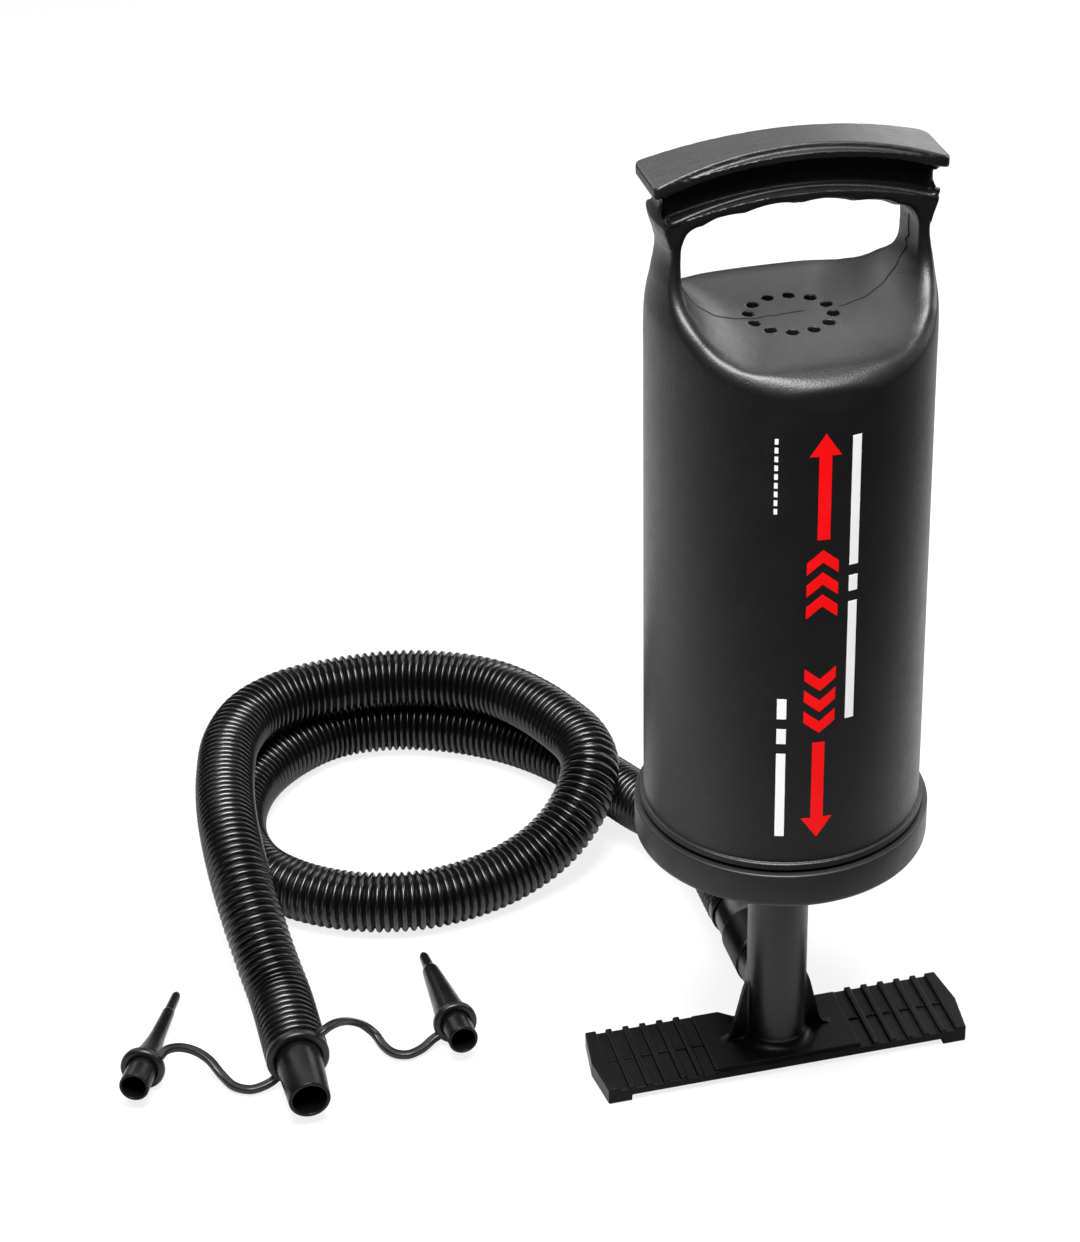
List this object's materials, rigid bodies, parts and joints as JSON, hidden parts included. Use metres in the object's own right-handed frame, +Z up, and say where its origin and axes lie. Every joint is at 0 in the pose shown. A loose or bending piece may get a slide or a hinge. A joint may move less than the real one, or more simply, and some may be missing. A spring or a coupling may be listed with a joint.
{
  "type": "double action hand pump",
  "caption": "Upright double action hand pump: a barrel with a moulded grip slides on a hollow rod over a foot plate, and a ribbed hose carries tethered cone adapters.",
  "frame": {"origin": "on the floor under the rod's axis, in the middle of the foot plate", "axes": "+Z up along the rod and the barrel's stroke, X along the foot plate and the grip, +Y to the back, where the hose leaves"},
  "size_m": [0.32, 0.3092, 0.3709],
  "materials": {
    "shell_plastic": "satin black plastic, blow moulded",
    "cap_plastic": "satin black plastic",
    "foot_plastic": "satin black plastic, injection moulded",
    "inner_plastic": "dark plastic",
    "hose_plastic": "semi-gloss black soft plastic",
    "soft_rubber": "matt black soft rubber"
  },
  "bodies": {
    "stand": {"foot_base": "foot_plastic", "rod_tube": "foot_plastic", "piston_lower": "inner_plastic", "piston_upper": "inner_plastic", "piston_seal_lower": "soft_rubber", "piston_seal_upper": "soft_rubber", "piston_sleeve": "inner_plastic", "piston_nut": "inner_plastic", "hose_plug": "hose_plastic", "hose_cuff": "hose_plastic", "hose": "hose_plastic", "nozzle": "hose_plastic", "tether": "soft_rubber", "adapter_plain": "hose_plastic", "adapter_stepped": "hose_plastic"},
    "lower_piston_disc": {"piston_disc_lower": "soft_rubber"},
    "upper_piston_disc": {"piston_disc_upper": "soft_rubber"},
    "gland": {"rod_bush": "inner_plastic", "rod_seal": "soft_rubber"},
    "barrel": {"barrel_shell": "shell_plastic", "deck_disc_cage": "inner_plastic", "bottom_cap": "cap_plastic", "cap_gasket": "soft_rubber", "bush_retainer": "inner_plastic"},
    "deck_disc": {"deck_disc": "soft_rubber"},
    "cap_disc": {"cap_disc": "soft_rubber"}
  },
  "joints": [
    {"name": "pump_stroke", "type": "slide", "parent": "stand", "child": "gland", "axis": [0, 0, 1], "range_m": [0, 0.14]},
    {"name": "barrel_spin", "type": "hinge", "parent": "gland", "child": "barrel", "pos_m": [0, 0, 0.11], "axis": [0, 0, 1], "continuous": true},
    {"name": "deck_disc_lift", "type": "slide", "parent": "barrel", "child": "deck_disc", "axis": [0, 0, 1], "range_m": [0, 0.0015]},
    {"name": "cap_disc_lift", "type": "slide", "parent": "barrel", "child": "cap_disc", "axis": [0, 0, 1], "range_m": [0, 0.0015]},
    {"name": "lower_piston_disc_lift", "type": "slide", "parent": "stand", "child": "lower_piston_disc", "axis": [0, 0, 1], "range_m": [0, 0.0015]},
    {"name": "upper_piston_disc_lift", "type": "slide", "parent": "stand", "child": "upper_piston_disc", "axis": [0, 0, 1], "range_m": [0, 0.0015]}
  ]
}
